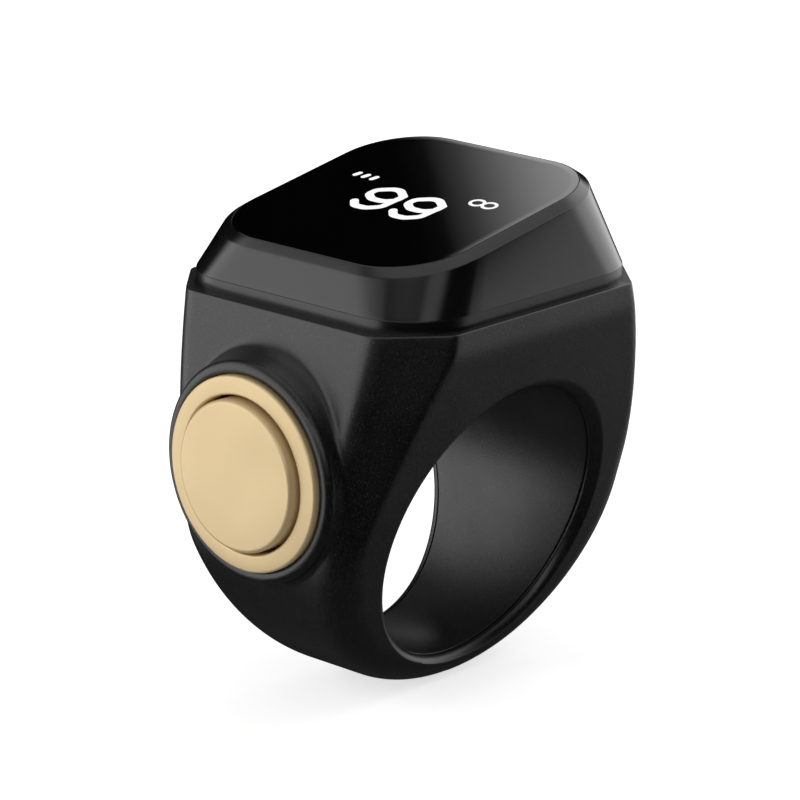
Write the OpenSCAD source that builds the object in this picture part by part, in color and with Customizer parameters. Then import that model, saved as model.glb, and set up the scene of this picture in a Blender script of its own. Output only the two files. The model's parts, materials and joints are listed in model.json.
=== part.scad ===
// Finger-ring digital tally counter: a moulded ring with a tilted display head
// and a round push button on its left side. All sizes are in millimetres.
// The origin is the middle of the finger bore, the bore runs along Y, the
// display faces up and the button faces -X.

/* [Finger bore] */
// Inside diameter of the finger liner
finger_d = 20; // [18:0.5:22]
// Thickness of the liner sleeve
liner_t = 0.55; // [0.4:0.05:0.8]
// Depth of the liner's ends below the side faces
liner_inset = 0.78; // [0.6:0.02:1]
// Radial width of the rounded rim round the bore
rim_w = 0.53; // [0.3:0.01:0.8]

/* [Ring body] */
// Half the body's length along the bore, at the height of the bore's axis
face_y = 7.87; // [7:0.01:9]
// Lean of the two side faces, in degrees
face_lean = 17.1; // [12:0.1:20]
// Half the body's length at the upright strip below its top edge
strip_y = 12.29; // [11.6:0.01:13]
// Half the body's width at its top edge
top_x = 12.83; // [12.2:0.01:14]
// Wall from the bore to the outside, at the sides
side_wall = 3.75; // [3.4:0.05:4.5]
// Wall from the bore to the outside, at the bottom
bottom_wall = 2.06; // [1.8:0.02:3]
// Height of the body's top edge over the top of the bore
head_rise = 6.12; // [5.9:0.02:7]
// Lean of the button's side out from the top edge, in degrees
button_lean = 13.3; // [8:0.1:16]
// Wall from the bore to the outside on the button's side, where it is widest
belly_wall = 5.1; // [4:0.05:5.4]
// Leg of the corner facets at the top edge
facet_leg = 3.82; // [3:0.02:5]
// Lean of the upper part of the corner facets, in degrees
facet_lean = 6.5; // [4:0.1:10]
// Height of the upper part of the corner facets, above their upright part
facet_h = 5; // [3:0.1:7]
// Softness of the edge between the side faces and the shank
shank_soft = 1.84; // [1:0.02:3]

/* [Head] */
// Step from the body's edge in to the neck, along X
neck_step_x = 0.95; // [0.5:0.05:1.2]
// Step from the body's edge in to the neck, along Y
neck_step_y = 0.59; // [0.3:0.01:0.9]
// Height of the neck frame
neck_h = 0.83; // [0.6:0.01:1.2]
// Corner radius of the neck
neck_r = 5.15; // [4.5:0.05:6]
// Height of the middle of the display over the body's top edge
screen_rise = 5.43; // [5.2:0.01:7]
// Tilt of the display towards the button, in degrees
screen_tilt = 10.1; // [6:0.1:11]
// Half the display window's width, along X
screen_x = 9.75; // [9.4:0.05:10.2]
// Half the display window's length, along Y
screen_y = 9.94; // [9.5:0.02:10.4]
// Corner radius of the display window
screen_r = 5.14; // [4.5:0.02:6]
// Shift of the display towards the button
screen_shift = 0.43; // [0:0.01:0.8]
// Width of the bevel round the display, along X
bevel_x = 0.51; // [0.3:0.01:0.8]
// Width of the bevel round the display, along Y
bevel_y = 0.83; // [0.5:0.01:1.1]
// Drop of the bevel round the display
bevel_drop = 0.47; // [0.3:0.01:0.8]
// Wall of the head cover
cover_wall = 1; // [0.7:0.05:1.2]
// Thickness of the display lens
lens_t = 0.9; // [0.6:0.05:1.1]

/* [Button] */
// Height of the button's axis over the bore's axis
button_z = 5.72; // [5:0.02:6.4]
// Diameter of the button cap
cap_d = 10.4; // [9.6:0.1:10.8]
// Width of the bezel ring round the cap
bezel_w = 1.34; // [1:0.02:1.5]
// Gap between the cap and the bezel ring
cap_gap = 0.2; // [0.1:0.05:0.3]
// Height of the cap's face over the bezel's face
cap_rise = 1.07; // [0.6:0.01:1.3]
// Height of the bezel ring
bezel_h = 1.31; // [1.1:0.01:1.6]
// Travel of the button
button_travel = 0.3; // [0.2:0.01:0.35]
// Width of the boss's rim round the bezel
boss_rim_w = 0.7; // [0.45:0.01:0.8]

/* [Inside] */
// Wall over the bore, under the head's cavity
bore_wall = 1.3; // [0.9:0.05:1.6]
// Length of the battery, along X
battery_x = 12.6; // [11:0.1:12.8]
// Width of the battery, along Y
battery_y = 10; // [8:0.1:10.2]
// Thickness of the battery
battery_t = 3.2; // [2.6:0.1:3.4]
// Diameter of the vibration motor
motor_d = 7; // [6:0.1:7.2]
// Thickness of the vibration motor
motor_t = 2.1; // [2:0.1:2.7]
// Thickness of the main board
board_t = 0.8; // [0.6:0.1:1]
// Side of the tact switch
switch_w = 4.5; // [4:0.1:5.2]
// Height of the tact switch
switch_t = 1.2; // [1.1:0.05:1.3]

/* [Hidden] */

// Colours of the mouldings, the gold parts and the works inside
black_plastic = "#1b1b1c";
liner_grey = "#2c2c2e";
glass_black = "#060607";
gold = "#ddc496";
board_green = "#1d4a33";
copper_film = "#b5713a";
steel = "#b8bcc0";
cell_silver = "#c8cacc";
tape_white = "#e4e2dc";
chip_black = "#232326";
rubber_black = "#121212";

// Round surfaces, and the coarser rounds of the lofted shells
$fn = 96;
film_fn = 24;
cord_fn = 32;
loft_steps = 8;
// Overrun of cuts past the faces that they open
over = 1;
// Gap between faces that sit on each other, and around parts that slide in
seat = 0.02;
slip = 0.05;

// Radii and heights of the bore and the body
finger_r = finger_d / 2;
rim_lip = 0.05;
bore_lip_r = finger_r + rim_lip;
liner_seat_r = finger_r + liner_t + slip;
rim_r = bore_lip_r + rim_w;
rim_depth = 0.55;
side_x = finger_r + side_wall;
belly_x = finger_r + belly_wall;
bottom_z = finger_r + bottom_wall;
body_top = finger_r + head_rise;
face_slope = tan(face_lean);
facet_top = (top_x + strip_y - facet_leg) / sqrt(2);
facet_end = facet_top + facet_h * tan(facet_lean);
strip_soft = 1.5;
// Height of the belly, and its softness against the button side's lean
belly_z = 2;
belly_soft = 1;

// Counts of the body's net: steps round the bore, and bisections of each reach
body_steps = 96;
rim_steps = 3;
bisections = 14;
// Rows from one rim to the other, as shares of the rim's angle
row_shares = [1, 0.94, 0.89, 0.84, 0.79, 0.74, 0.68, 0.6, 0.5, 0.38, 0.2];

// Cavity for the works in the head
floor_z = liner_seat_r + bore_wall;
neck_x = top_x - neck_step_x;
neck_y = strip_y - neck_step_y;
neck_top = body_top + neck_h;
ledge_x = 1.68;
ledge_y = 2.1;
cavity_x = neck_x - ledge_x;
cavity_y = neck_y - ledge_y;
cavity_r = 3.2;

// Neck frame: the lip that drops into the cavity, and the seal's groove on top
lip_h = 0.82;
lip_t = 0.6;
groove_in = 0.4;
groove_w = 0.5;
groove_h = 0.35;

// Head cover: planes of the tilted top, measured at the display's middle
tilt_slope = tan(screen_tilt);
screen_z = body_top + screen_rise;
bevel_z = screen_z - bevel_drop;
bevel_r = screen_r + (bevel_x + bevel_y) / 2;
lens_gap = 0.04;
tape_t = 0.15;
shelf_t = 0.8;
shelf_w = 1.25;
hollow_share = 0.4;
hollow_x = screen_x - hollow_share * cover_wall;
hollow_y = screen_y - hollow_share * cover_wall;

// Display panel under the lens
panel_x = 12.6;
panel_y = 14.8;
panel_t = 1.2;
panel_drop = (lens_t + seat) * cos(screen_tilt) + panel_t;
flex_t = 0.12;
display_flex_w = 8;
display_flex_reach = 1.4;

// Main board on its four posts
board_gap = 0.22;
board_z = neck_top - board_gap - board_t;
board_rim = 0.25;
board_x = cavity_x - slip - lip_t - board_rim;
board_y = cavity_y - slip - lip_t - board_rim;
board_r = 2.6;
post_r = 1.25;
post_inset = 2.4;
post_x = cavity_x - post_inset;
post_y = cavity_y - post_inset;
screw_r = 0.55;
screw_head_r = 1;
screw_head_h = 0.5;
screw_l = 3;
driver_slot_w = 0.28;
driver_slot_l = 1.4;

// Battery, tape and motor over the charging film, with the battery midway between the
// motor and the far wall
tape_h = 0.1;
battery_r = 0.9;
battery_z = floor_z + 2 * seat + flex_t + tape_h + seat;
tab_w = 1.6;
tab_pitch = 7;
tab_reach = 0.7;
motor_margin = 0.45;
motor_y = cavity_y - motor_margin - motor_d / 2;
motor_z = floor_z + 2 * seat + flex_t;
battery_mid = -(motor_margin + motor_d) / 2;
can_t = 0.25;
shaft_r = 0.4;
rotor_play = 0.03;
rotor_rim_gap = 0.3;
rotor_face_gap = 0.2;
hub_r = 0.95;
motor_flex_w = 1.6;
motor_flex_reach = 1.5;

// Charging contacts through the wall over the bore
contact_r = 0.9;
contact_x = 2;
contact_head_r = 1.15;
contact_head_t = 0.25;
charge_flex_w = 2.6;
charge_flex_gap = 0.5;
charge_flex_x = battery_x / 2 + charge_flex_gap;

// Button stack, measured outwards along -X from the bore's axis
pocket_wall = 0.95;
pocket_floor = finger_r + liner_t + pocket_wall;
switch_board_t = 0.4;
switch_s = pocket_floor + seat + switch_board_t + seat;
switch_top = switch_s + switch_t;
actuator_spare = 0.08;
actuator_out = button_travel + actuator_spare;
actuator_end = switch_top + actuator_out;
nub_s = actuator_end + seat;
nub_spare = 0.46;
nub_h = button_travel + nub_spare;
flange_s = nub_s + nub_h;
flange_t = 0.5;
bezel_s = flange_s + flange_t + slip;
bezel_front = bezel_s + bezel_h;
cap_front = bezel_front + cap_rise;
cap_r = cap_d / 2;
bezel_in_r = cap_r + cap_gap;
bezel_out_r = bezel_in_r + bezel_w;
flange_lap = 0.55;
flange_r = bezel_in_r + flange_lap;
flange_play = 0.2;
pocket_r = flange_r + flange_play;
ring_d = 0.66;
ring_s = flange_s + flange_t + seat + ring_d / 2;
cap_back = ring_s + ring_d / 2 + seat;
cap_wall = 0.5;
cap_face_t = 0.62;
cap_round = 0.5;
bezel_round = 0.35;
nub_r = 1.3;

// Boss that carries the bezel
bezel_proud = 0.26;
boss_front = bezel_front - bezel_proud;
boss_r = bezel_out_r + slip + boss_rim_w;
boss_round = 0.5;
boss_cone = 12;
boss_flare = 1.7;
boss_foot = 13;
// Turn at which the flare starts, so that its foot stays inside the wall
boss_turn = 20;

// Tact switch
switch_base_t = 0.28;
switch_lid_t = 0.22;
dome_r = 1.6;
dome_t = 0.06;
dome_spare = 0.03;
dome_h = button_travel + dome_spare;
actuator_r = 1;
actuator_flange_r = 1.45;
actuator_flange_t = 0.16;
switch_board_r = 5;
switch_flex_w = 3;
switch_flex_low = 2.9;
switch_flex_rise = 2.1;
switch_flex_z = floor_z + switch_flex_rise;
switch_flex_in = 8.7;
switch_flex_tail = 1.1;
channel_play = 0.3;
channel_w = switch_flex_w + 2 * channel_play;

// Rounds the larger of two distances where they come within k of each other
function blend(a, b, k) = max(a, b) + pow(max(k - abs(a - b), 0), 2) / (4 * k);

// Distance limits of the body at a point: below zero is inside
function side_limit(x, z) =
    z > 0 ? x - side_x + (side_x - top_x) * pow(min(z / body_top, 1), 2)
    : side_x * (norm([x / side_x, z / bottom_z]) - 1);
function belly_limit(x, z) =
    z > belly_z ? x - belly_x
    : belly_x * (norm([x / belly_x, (z - belly_z) / (bottom_z + belly_z)]) - 1);
function button_limit(x, z) =
    blend((x - top_x) * cos(button_lean) - (body_top - z) * sin(button_lean),
        belly_limit(x, z), belly_soft);
function face_limit(y, z) =
    blend((y - face_y - face_slope * z) * cos(face_lean), y - strip_y, strip_soft);
function body_limit(p) =
    let (side = p.x < 0 ? button_limit(-p.x, p.z) : side_limit(p.x, p.z))
    max(blend(side, face_limit(abs(p.y), p.z), shank_soft), p.z - body_top - over);

// Distance from the origin, along d, at which the body ends
function reach(d, low, high, n) =
    n == 0 ? (low + high) / 2
    : let (mid = (low + high) / 2)
        body_limit(mid * d) > 0 ? reach(d, low, mid, n - 1) : reach(d, mid, high, n - 1);

// Half the body's length at a place on the side face
function face_at(z) = face_y + face_slope * z;
function bore_point(turn, r, depth, end) =
    [r * cos(turn), end * (face_at(r * sin(turn)) - depth), r * sin(turn)];
function wall_point(turn, lift) =
    let (d = [cos(lift) * cos(turn), sin(lift), cos(lift) * sin(turn)])
    d * reach(d, finger_r * cos(lift), 2 * body_top, bisections);

// One closed section of the body's net: bore, rim, outer wall, rim. The rim starts a
// little inside the bore, so that the bore's cut crosses it cleanly
function rim_rows(turn, end) = [for (i = [0 : rim_steps - 1])
    let (b = 90 * i / rim_steps)
    bore_point(turn, rim_r - (rim_w + seat) * cos(b), rim_depth * (1 - sin(b)), end)];
function section(turn) =
    let (lift = atan(face_at(rim_r * sin(turn)) / rim_r),
        low = rim_rows(turn, -1), high = rim_rows(turn, 1), rows = len(row_shares))
    concat([bore_point(turn, finger_r - rim_w, rim_depth, -1)], low,
        [for (s = row_shares) wall_point(turn, -s * lift)],
        [wall_point(turn, 0)],
        [for (i = [rows - 1 : -1 : 0]) wall_point(turn, row_shares[i] * lift)],
        [for (i = [rim_steps - 1 : -1 : 0]) high[i]],
        [bore_point(turn, finger_r - rim_w, rim_depth, 1)]);

// Closed net of equal rows, where the last row joins the first
module ring_net(sections) {
    n = len(sections);
    m = len(sections[0]);
    points = [for (s = sections) each s];
    faces = [for (i = [0 : n - 1], j = [0 : m - 1])
        let (a = i * m + j, b = i * m + (j + 1) % m,
            c = (i + 1) % n * m + (j + 1) % m, d = (i + 1) % n * m + j)
        each [[a, c, b], [a, d, c]]];
    polyhedron(points, faces);
}

// Outline of a rounded rectangle, as points and as an exact plane shape
function round_outline(x, y, r) = [for (q = [0 : 3], i = [0 : loft_steps])
    let (t = 90 * (q + i / loft_steps))
    [(q == 0 || q == 3 ? 1 : -1) * (x - r) + r * cos(t),
     (q < 2 ? 1 : -1) * (y - r) + r * sin(t)]];
module round_plate(x, y, r) {
    square([2 * x, 2 * (y - r)], center = true);
    square([2 * (x - r), 2 * y], center = true);
    for (i = [-1, 1], j = [-1, 1])
        translate([i * (x - r), j * (y - r)]) circle(r);
}

// Loft through rounded rectangles: rows of [x, y, r, z, slope, shift]
module round_loft(rows) {
    m = 4 * (loft_steps + 1);
    n = len(rows);
    points = [for (row = rows, p = round_outline(row[0], row[1], row[2]))
        [p.x - row[5], p.y, row[3] + row[4] * p.x]];
    sides = [for (i = [0 : n - 2], j = [0 : m - 1])
        let (a = i * m + j, b = i * m + (j + 1) % m) each [[a, a + m, b + m], [a, b + m, b]]];
    polyhedron(points, concat(sides, [[for (j = [0 : m - 1]) j],
        [for (j = [m - 1 : -1 : 0]) (n - 1) * m + j]]));
}

// Ring body: lofted wall, boss, cavity and the seats of what it holds
module button_axis() {
    translate([0, 0, button_z]) rotate([0, -90, 0]) children();
}
module side_slab(inset) {
    low = -bottom_z;
    high = body_top;
    rotate([90, 0, 90]) linear_extrude(2 * side_x, center = true) polygon([
        [-face_at(low) + inset, low], [face_at(low) - inset, low],
        [face_at(high) - inset, high], [-face_at(high) + inset, high]]);
}
module facet_cuts() {
    for (turn = [45 : 90 : 315]) rotate(turn) {
        translate([facet_top, 0, body_top]) rotate([0, -facet_lean, 0])
            translate([0, -top_x, -body_top]) cube([top_x, 2 * top_x, 2 * body_top]);
        translate([facet_end, -top_x, -body_top]) cube([top_x, 2 * top_x, 2 * body_top]);
    }
}
module bore_cut(r, l) {
    rotate([90, 0, 0]) cylinder(r = r, h = l, center = true);
}
module boss() {
    flank = boss_front - boss_round;
    toe = boss_foot + boss_flare * (1 - sin(boss_cone));
    toe_r = boss_r + (flank - toe) * tan(boss_cone);
    arc = 90 - boss_cone - boss_turn;
    flare = [for (i = [0 : loft_steps]) let (t = boss_turn + arc * i / loft_steps)
        [toe_r + boss_flare * (cos(boss_cone) - sin(t)), toe + boss_flare * (sin(boss_cone) - cos(t))]];
    button_axis() rotate_extrude() polygon(concat([[0, pocket_floor], [flare[0].x, pocket_floor]], flare,
        [for (i = [0 : loft_steps]) let (t = 90 * i / loft_steps)
            [boss_r - boss_round + boss_round * cos(t), flank + boss_round * sin(t)]],
        [[0, boss_front]]));
}
module head_cavity() {
    difference() {
        translate([0, 0, floor_z]) linear_extrude(body_top - floor_z + over)
            round_plate(cavity_x, cavity_y, cavity_r);
        for (i = [-1, 1], j = [-1, 1]) translate([i * post_x, j * post_y, floor_z - over])
            cylinder(r = post_r, h = board_z - floor_z + over - seat);
    }
}
module flex_channel() {
    out = switch_s + flex_t + channel_play;
    top = switch_flex_z + 2 * channel_play;
    bottom = button_z + switch_board_r;
    translate([-out, -channel_w / 2, bottom])
        cube([out - pocket_floor - channel_play / 2, channel_w, top - bottom]);
    translate([-out, -channel_w / 2, switch_flex_z - channel_play])
        cube([out - cavity_x + channel_play, channel_w, top - switch_flex_z + channel_play]);
}
module contact_places() {
    for (i = [-1, 1]) translate([i * contact_x, 0, 0]) children();
}
module ring_body() color(black_plastic) difference() {
    union() {
        difference() {
            ring_net([for (i = [0 : body_steps - 1]) section(360 * i / body_steps)]);
            translate([0, 0, body_top + 2 * over])
                cube([4 * side_x, 4 * side_x, 4 * over], center = true);
            facet_cuts();
        }
        boss();
    }
    bore_cut(bore_lip_r, 4 * strip_y);
    intersection() {
        bore_cut(liner_seat_r, 4 * strip_y);
        side_slab(liner_inset - seat);
    }
    head_cavity();
    button_axis() {
        translate([0, 0, pocket_floor]) cylinder(r = pocket_r, h = cap_front);
        translate([0, 0, bezel_s]) cylinder(r = bezel_out_r + slip, h = cap_front);
    }
    flex_channel();
    contact_places() {
        cylinder(r = contact_r + seat, h = floor_z + over);
        translate([0, 0, floor_z - contact_head_t - seat])
            cylinder(r = contact_head_r + slip, h = over);
    }
    for (i = [-1, 1]) translate([i * post_x, i * post_y, board_z - screw_l])
        cylinder(r = screw_r + seat, h = screw_l + over);
}

// Sleeve that lines the bore and is held behind its two rims
module finger_liner() color(liner_grey) difference() {
    intersection() {
        bore_cut(finger_r + liner_t, 4 * strip_y);
        side_slab(liner_inset);
    }
    bore_cut(finger_r, 4 * strip_y + over);
    contact_places() cylinder(r = contact_r + seat, h = floor_z);
}

// Neck frame between the body and the cover
module neck_frame() color(black_plastic) difference() {
    union() {
        translate([0, 0, body_top]) linear_extrude(neck_h) round_plate(neck_x, neck_y, neck_r);
        translate([0, 0, body_top - lip_h]) linear_extrude(lip_h + seat)
            round_plate(cavity_x - slip, cavity_y - slip, cavity_r - slip);
    }
    translate([0, 0, body_top - lip_h - over]) linear_extrude(lip_h + neck_h + 2 * over)
        round_plate(cavity_x - slip - lip_t, cavity_y - slip - lip_t, cavity_r - slip - lip_t);
    seal_ring(neck_top - groove_h, groove_h + over, 0);
}
module seal_ring(z, h, play) {
    out_x = neck_x - groove_in - play;
    out_y = neck_y - groove_in - play;
    out_r = neck_r - groove_in - play;
    w = groove_w - 2 * play;
    translate([0, 0, z]) linear_extrude(h) difference() {
        round_plate(out_x, out_y, out_r);
        round_plate(out_x - w, out_y - w, out_r - w);
    }
}
module cover_seal() color(rubber_black) seal_ring(neck_top - groove_h + seat, groove_h - seat, seat);

// Head cover: a lofted shell with a bevelled rim and a shelf for the lens
function tilted(x, y, r, z) = [x, y, r, z, tilt_slope, screen_shift];
function level(x, y, r, z) = [x, y, r, z, 0, 0];
module head_cover() color(black_plastic) difference() {
    round_loft([level(neck_x, neck_y, neck_r, neck_top),
        tilted(screen_x + bevel_x, screen_y + bevel_y, bevel_r, bevel_z),
        tilted(screen_x, screen_y, screen_r, screen_z)]);
    round_loft([tilted(screen_x, screen_y, screen_r, screen_z - lens_t - tape_t),
        tilted(screen_x, screen_y, screen_r, screen_z + over)]);
    round_loft([tilted(screen_x - shelf_w, screen_y - shelf_w, screen_r - shelf_w,
            screen_z - lens_t - tape_t - shelf_t - over),
        tilted(screen_x - shelf_w, screen_y - shelf_w, screen_r - shelf_w, screen_z)]);
    round_loft([level(neck_x - cover_wall, neck_y - cover_wall, neck_r - cover_wall,
            neck_top - slip),
        level(neck_x - cover_wall, neck_y - cover_wall, neck_r - cover_wall, neck_top + slip),
        tilted(hollow_x, hollow_y, screen_r, screen_z - lens_t - tape_t - shelf_t)]);
}
module display_lens() color(glass_black) round_loft([
    tilted(screen_x - lens_gap, screen_y - lens_gap, screen_r - lens_gap, screen_z - lens_t),
    tilted(screen_x - lens_gap, screen_y - lens_gap, screen_r - lens_gap, screen_z)]);
module lens_tape() color(tape_white) difference() {
    round_loft([for (z = [-tape_t + seat, -seat])
        tilted(screen_x - 2 * lens_gap, screen_y - 2 * lens_gap, screen_r - 2 * lens_gap,
            screen_z - lens_t + z)]);
    round_loft([for (z = [-tape_t - over, over])
        tilted(screen_x - shelf_w, screen_y - shelf_w, screen_r - shelf_w,
            screen_z - lens_t + z)]);
}

// Display panel and its film, in the display's own tilted plane
module display_plane(drop) {
    translate([-screen_shift, 0, screen_z]) rotate([0, -screen_tilt, 0])
        translate([0, 0, -drop]) children();
}
module display_panel() color(glass_black) display_plane(panel_drop)
    translate([-panel_x / 2, -panel_y / 2, 0]) cube([panel_x, panel_y, panel_t]);
function path_segments(path) = [for (i = [0 : len(path) - 2]) [path[i], path[i + 1]]];
module film(path, w) {
    rotate([90, 0, 0]) linear_extrude(w, center = true) {
        for (s = path_segments(path)) let (d = s[1] - s[0])
            translate(s[0]) rotate(atan2(d.y, d.x))
                translate([0, -flex_t / 2]) square([norm(d), flex_t]);
        for (p = path) translate(p) circle(flex_t / 2, $fn = film_fn);
    }
}
module display_flex() {
    tail = panel_x / 2 - display_flex_reach;
    drop = panel_drop + seat + flex_t / 2;
    c = cos(screen_tilt);
    s = sin(screen_tilt);
    a = [tail * c + drop * s - screen_shift, screen_z + tail * s - drop * c];
    out = tail + 2 * display_flex_reach;
    b = [out * c + drop * s - screen_shift, screen_z + out * s - drop * c];
    foot = board_z + board_t + seat + flex_t / 2;
    color(copper_film) film([a, b, [b.x, foot], [b.x - 2 * display_flex_reach, foot]],
        display_flex_w);
}

// Main board with its parts and screws
module main_board() color(board_green) difference() {
    translate([0, 0, board_z]) linear_extrude(board_t) round_plate(board_x, board_y, board_r);
    for (i = [-1, 1], j = [-1, 1]) translate([i * post_x, j * post_y, board_z - over])
        cylinder(r = screw_r + slip, h = board_t + 2 * over);
}
// Chips on the board: middle x, middle y, length, width and height of each
chip_places = [[-2.2, -1.8, 5, 5, 0.8], [-2.4, 3.6, 3.2, 2.5, 0.7], [2.6, -4.4, 2, 1.2, 0.6],
    [2.4, 2.6, 1.6, 0.8, 0.5], [2.4, 4.2, 1.6, 0.8, 0.5], [-6.4, 3.4, 1.2, 5, 0.9],
    [-6.2, -1, 1, 0.5, 0.4], [-6.2, -2.2, 1, 0.5, 0.4]];
module board_chips() color(chip_black) for (c = chip_places)
    translate([c[0] - c[2] / 2, c[1] - c[3] / 2, board_z + board_t + seat])
        cube([c[2], c[3], c[4]]);
module board_screws() color(steel) for (i = [-1, 1])
    translate([i * post_x, i * post_y, board_z + board_t + seat]) difference() {
        union() {
            cylinder(r = screw_head_r, h = screw_head_h);
            translate([0, 0, -screw_l]) cylinder(r = screw_r, h = screw_l + seat);
        }
        for (a = [0, 90]) rotate(a)
            translate([-driver_slot_l / 2, -driver_slot_w / 2, screw_head_h / 2])
                cube([driver_slot_l, driver_slot_w, screw_head_h]);
    }

// Battery on its tape, with the two tabs that rise to the board
module battery() color(cell_silver) translate([0, battery_mid, battery_z + battery_t / 2])
    rotate([90, 0, 90]) linear_extrude(battery_x, center = true)
        round_plate(battery_y / 2, battery_t / 2, battery_r);
module battery_tape() color(tape_white)
    translate([-battery_x / 2, battery_mid - battery_y / 2, battery_z - tape_h - seat])
        cube([battery_x, battery_y, tape_h]);
module battery_tabs() {
    low = battery_z + battery_t / 2;
    edge = battery_mid + battery_y / 2 + seat;
    color(steel) for (i = [-1, 1]) translate([i * tab_pitch / 2 - tab_w / 2, edge, 0]) {
        translate([0, 0, low]) cube([tab_w, tab_reach, flex_t]);
        translate([0, tab_reach - flex_t, low]) cube([tab_w, flex_t, board_z - seat - low]);
    }
}

// Coin vibration motor: can, shaft, off-centre weight and its film
module motor_place() {
    translate([0, motor_y, motor_z]) children();
}
module motor_case() color(steel) motor_place() difference() {
    cylinder(r = motor_d / 2, h = motor_t);
    translate([0, 0, can_t]) cylinder(r = motor_d / 2 - can_t, h = motor_t - 2 * can_t);
}
module motor_shaft() color(steel) motor_place() translate([0, 0, can_t])
    cylinder(r = shaft_r, h = motor_t - 2 * can_t);
module motor_rotor() color(copper_film) motor_place() translate([0, 0, can_t + rotor_face_gap])
    difference() {
        r = motor_d / 2 - can_t - rotor_rim_gap;
        h = motor_t - 2 * can_t - 2 * rotor_face_gap;
        union() {
            cylinder(r = hub_r, h = h);
            intersection() {
                cylinder(r = r, h = h);
                translate([-r, 0, 0]) cube([2 * r, r, h]);
            }
        }
        translate([0, 0, -over]) cylinder(r = shaft_r + rotor_play, h = h + 2 * over);
    }
module motor_flex() {
    x = motor_d / 2 + slip + flex_t / 2;
    low = motor_z + can_t;
    high = board_z - seat - flex_t / 2;
    color(copper_film) translate([0, motor_y, 0]) film([[x, low], [x + motor_flex_reach, low],
        [x + motor_flex_reach, high], [x, high]], motor_flex_w);
}

// Charging contacts, flush with the bore, and the film that joins them to the board
module charge_contacts() color(gold) difference() {
    contact_places() {
        cylinder(r = contact_r, h = floor_z - seat);
        translate([0, 0, floor_z - contact_head_t - seat])
            cylinder(r = contact_head_r, h = contact_head_t);
    }
    bore_cut(finger_r + seat, 4 * strip_y);
}
module charge_flex() {
    low = floor_z + seat + flex_t / 2;
    high = board_z - seat - flex_t / 2;
    color(copper_film) film([[-contact_x - contact_head_r, low], [charge_flex_x, low],
        [charge_flex_x, high], [charge_flex_x - contact_head_r, high]], charge_flex_w);
}

// Button: the fixed bezel, and the cap, plunger and O-ring that move together
function quarter(r, z, round) = [for (i = [0 : loft_steps])
    let (t = 90 * i / loft_steps) [r - round + round * cos(t), z - round + round * sin(t)]];
module button_bezel() color(gold) button_axis() rotate_extrude() polygon(concat(
    [[bezel_in_r, bezel_s + seat], [bezel_out_r, bezel_s + seat]],
    quarter(bezel_out_r, bezel_front, bezel_round),
    [for (i = [loft_steps : -1 : 0]) let (t = 90 * i / loft_steps)
        [bezel_in_r + bezel_round - bezel_round * cos(t),
         bezel_front - bezel_round + bezel_round * sin(t)]]));
module button_cap() color(gold) button_axis() rotate_extrude() polygon(concat(
    [[0, cap_front - cap_face_t], [cap_r - cap_wall, cap_front - cap_face_t],
     [cap_r - cap_wall, cap_back], [cap_r, cap_back]],
    quarter(cap_r, cap_front, cap_round), [[0, cap_front]]));
module button_plunger() color(black_plastic) button_axis() {
    core_r = cap_r - cap_wall - seat;
    translate([0, 0, nub_s]) cylinder(r = nub_r, h = nub_h + flange_t / 2);
    translate([0, 0, flange_s]) cylinder(r = flange_r, h = flange_t);
    translate([0, 0, flange_s]) cylinder(r = core_r, h = cap_front - cap_face_t - seat - flange_s);
}
module button_oring() color(rubber_black) button_axis() translate([0, 0, ring_s])
    rotate_extrude() translate([bezel_in_r - seat - ring_d / 2, 0]) circle(ring_d / 2, $fn = cord_fn);

// Tact switch on its small board
module switch_board() color(board_green) button_axis() translate([0, 0, pocket_floor + seat])
    cylinder(r = switch_board_r, h = switch_board_t);
module switch_body() color(chip_black) button_axis() translate([0, 0, switch_s]) difference() {
    translate([-switch_w / 2, -switch_w / 2, 0]) cube([switch_w, switch_w, switch_t]);
    translate([0, 0, switch_base_t]) cylinder(r = dome_r + slip + seat,
        h = switch_t - switch_base_t - switch_lid_t);
    translate([0, 0, switch_base_t]) cylinder(r = actuator_r + slip, h = switch_t);
}
module switch_dome() color(steel) button_axis() translate([0, 0, switch_s + switch_base_t + seat])
    rotate_extrude() polygon(concat(
        [for (i = [0 : loft_steps]) let (t = i / loft_steps)
            [dome_r * t, dome_t + (dome_h - dome_t) * (1 - t * t)]],
        [for (i = [loft_steps : -1 : 0]) let (t = i / loft_steps)
            [dome_r * t, (dome_h - dome_t) * (1 - t * t)]]));
module switch_actuator() color(tape_white) button_axis() {
    low = switch_s + switch_base_t + dome_h + 2 * seat;
    translate([0, 0, low]) cylinder(r = actuator_flange_r, h = actuator_flange_t);
    translate([0, 0, low]) cylinder(r = actuator_r, h = actuator_end - low);
}
module switch_flex() {
    x = -(switch_s + flex_t / 2);
    high = board_z - seat - flex_t / 2;
    color(copper_film) film([[x, button_z + switch_flex_low], [x, switch_flex_z],
        [-switch_flex_in, switch_flex_z], [-switch_flex_in, high],
        [-switch_flex_in + switch_flex_tail, high]], switch_flex_w);
}

ring_body();
finger_liner();
neck_frame();
cover_seal();
head_cover();
display_lens();
lens_tape();
display_panel();
display_flex();
main_board();
board_chips();
board_screws();
battery();
battery_tape();
battery_tabs();
motor_case();
motor_shaft();
motor_rotor();
motor_flex();
charge_contacts();
charge_flex();
button_bezel();
button_cap();
button_plunger();
button_oring();
switch_board();
switch_body();
switch_dome();
switch_actuator();
switch_flex();
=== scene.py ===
import json
import math

import bmesh
import bpy
import numpy as np
from mathutils import Matrix, Vector


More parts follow.
